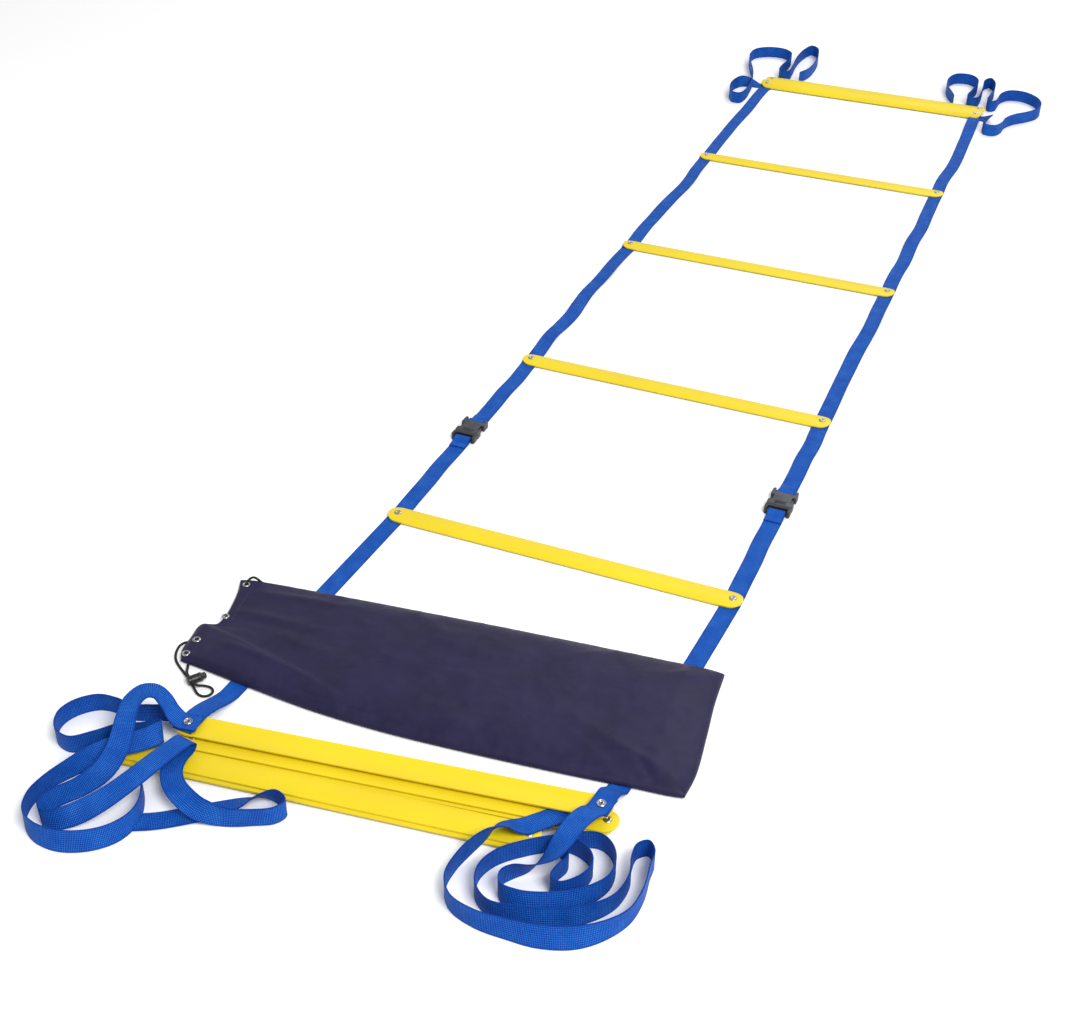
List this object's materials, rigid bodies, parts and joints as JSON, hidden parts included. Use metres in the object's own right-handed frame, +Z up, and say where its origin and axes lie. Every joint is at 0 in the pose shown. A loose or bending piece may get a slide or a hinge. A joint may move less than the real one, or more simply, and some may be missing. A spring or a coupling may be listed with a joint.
{
  "type": "agility ladder",
  "caption": "Flat agility ladder of arched rungs riveted between two webbing straps, part unrolled between stacked ends, with side-release buckles and a drawstring bag.",
  "frame": {"origin": "centre of the overall footprint, on the floor that the ladder lies on", "axes": "+Y along the ladder from the near stack to the far stack, +X along the rungs to the right, +Z up"},
  "size_m": [0.6456, 2.3826, 0.0448],
  "materials": {
    "rung_plastic": "semi-gloss moulded strip",
    "rivet_metal": "plated tubular rivet",
    "webbing": "woven ribbed webbing",
    "plug_plastic": "fine matte",
    "socket_plastic": "fine matte",
    "bag_cloth": "thin plain-woven cloth",
    "eyelet_metal": "rolled eyelet",
    "black_cord": "braided cord",
    "lock_plastic": "satin"
  },
  "bodies": {
    "near_end": {"rung_a": "rung_plastic", "rivet_a_left": "rivet_metal", "rivet_a_right": "rivet_metal", "strap_near_left": "webbing", "strap_near_right": "webbing", "rivet_near_left": "rivet_metal", "rivet_near_right": "rivet_metal", "bundle_near_left": "webbing", "bundle_near_left_outer": "webbing", "bundle_near_right": "webbing", "bag": "bag_cloth", "eyelet_1": "eyelet_metal", "eyelet_2": "eyelet_metal", "eyelet_3": "eyelet_metal", "eyelet_4": "eyelet_metal", "draw_cord": "black_cord", "lock_barrel": "lock_plastic", "rung_near_1": "rung_plastic", "rung_near_2": "rung_plastic", "rung_near_3": "rung_plastic", "rung_near_4": "rung_plastic", "rung_near_5": "rung_plastic"},
    "left_near_link": {"strap_link_near_left": "webbing", "buckle_plug_left": "plug_plastic"},
    "right_near_link": {"strap_link_near_right": "webbing", "buckle_plug_right": "plug_plastic"},
    "left_far_link": {"strap_link_far_left": "webbing", "buckle_socket_left": "socket_plastic"},
    "right_far_link": {"strap_link_far_right": "webbing", "buckle_socket_right": "socket_plastic"},
    "rung_b_unit": {"rung_b": "rung_plastic", "rivet_b_left": "rivet_metal", "rivet_b_right": "rivet_metal", "strap_b_left": "webbing", "strap_b_right": "webbing"},
    "rung_c_unit": {"rung_c": "rung_plastic", "rivet_c_left": "rivet_metal", "rivet_c_right": "rivet_metal", "strap_c_left": "webbing", "strap_c_right": "webbing"},
    "rung_d_unit": {"rung_d": "rung_plastic", "rivet_d_left": "rivet_metal", "rivet_d_right": "rivet_metal", "strap_d_left": "webbing", "strap_d_right": "webbing"},
    "far_end": {"strap_far_left": "webbing", "strap_far_right": "webbing", "rung_far_1": "rung_plastic", "rung_far_2": "rung_plastic", "rung_far_3": "rung_plastic", "rivet_far_left": "rivet_metal", "rivet_far_right": "rivet_metal", "bundle_far_left": "webbing", "bundle_far_right": "webbing"},
    "lock_button": {"lock_button": "lock_plastic"},
    "latch_left_left": {"latch_left_left": "plug_plastic"},
    "latch_left_right": {"latch_left_right": "plug_plastic"},
    "latch_right_left": {"latch_right_left": "plug_plastic"},
    "latch_right_right": {"latch_right_right": "plug_plastic"}
  },
  "joints": [
    {"name": "ladder_sway", "type": "hinge", "parent": "near_end", "child": "left_near_link", "pos_m": [-0.1835, -0.615, 0], "axis": [0, 0, 1], "range_deg": [-20, 20]},
    {"name": "ladder_sway_right", "type": "hinge", "parent": "near_end", "child": "right_near_link", "pos_m": [0.2165, -0.615, 0], "axis": [0, 0, 1], "range_deg": [-20, 20]},
    {"name": "section_release", "type": "slide", "parent": "left_near_link", "child": "left_far_link", "axis": [0, 1, 0], "range_m": [0, 0.03], "deforming": ["latch_left_left", "latch_left_right"]},
    {"name": "section_release_right", "type": "slide", "parent": "right_near_link", "child": "right_far_link", "axis": [0, 1, 0], "range_m": [0, 0.03], "deforming": ["latch_right_left", "latch_right_right"]},
    {"name": "rung_b_swing", "type": "hinge", "parent": "left_far_link", "child": "rung_b_unit", "pos_m": [-0.1835, -0.218, 0], "axis": [0, 0, 1], "range_deg": [-20, 20]},
    {"name": "accordion_fold", "type": "hinge", "parent": "rung_b_unit", "child": "rung_c_unit", "pos_m": [0.0165, -0.0195, 0.0016], "axis": [1, 0, 0], "range_deg": [0, 80]},
    {"name": "second_fold", "type": "hinge", "parent": "rung_c_unit", "child": "rung_d_unit", "pos_m": [0.0165, 0.3775, -0.0002], "axis": [1, 0, 0], "range_deg": [-160, 0]},
    {"name": "third_fold", "type": "hinge", "parent": "rung_d_unit", "child": "far_end", "pos_m": [0.0165, 0.7745, 0.0016], "axis": [1, 0, 0], "range_deg": [0, 80]},
    {"name": "latch_left_left_press", "type": "hinge", "parent": "left_near_link", "child": "latch_left_left", "pos_m": [-0.1915, -0.42655, 0.0043], "axis": [0, 0, 1], "range_deg": [-12, 0], "stiffness_Nm_per_rad": 0.04},
    {"name": "latch_left_right_press", "type": "hinge", "parent": "left_near_link", "child": "latch_left_right", "pos_m": [-0.1755, -0.42655, 0.0043], "axis": [0, 0, 1], "range_deg": [0, 12], "stiffness_Nm_per_rad": 0.04},
    {"name": "latch_right_left_press", "type": "hinge", "parent": "right_near_link", "child": "latch_right_left", "pos_m": [0.2085, -0.42655, 0.0043], "axis": [0, 0, 1], "range_deg": [-12, 0], "stiffness_Nm_per_rad": 0.04},
    {"name": "latch_right_right_press", "type": "hinge", "parent": "right_near_link", "child": "latch_right_right", "pos_m": [0.2245, -0.42655, 0.0043], "axis": [0, 0, 1], "range_deg": [0, 12], "stiffness_Nm_per_rad": 0.04},
    {"name": "lock_press", "type": "slide", "parent": "near_end", "child": "lock_button", "axis": [0.5736, 0.8192, 0], "range_m": [-0.003, 0], "stiffness_N_per_m": 300}
  ],
  "couplings": [
    {"joint": "ladder_sway_right", "follows": "ladder_sway", "ratio": 1},
    {"joint": "rung_b_swing", "follows": "ladder_sway", "ratio": -1},
    {"joint": "section_release_right", "follows": "section_release", "ratio": 1},
    {"joint": "second_fold", "follows": "accordion_fold", "ratio": -2},
    {"joint": "third_fold", "follows": "accordion_fold", "ratio": 1},
    {"joint": "latch_left_left_press", "follows": "latch_left_right_press", "ratio": -1},
    {"joint": "latch_right_left_press", "follows": "latch_right_right_press", "ratio": -1}
  ]
}
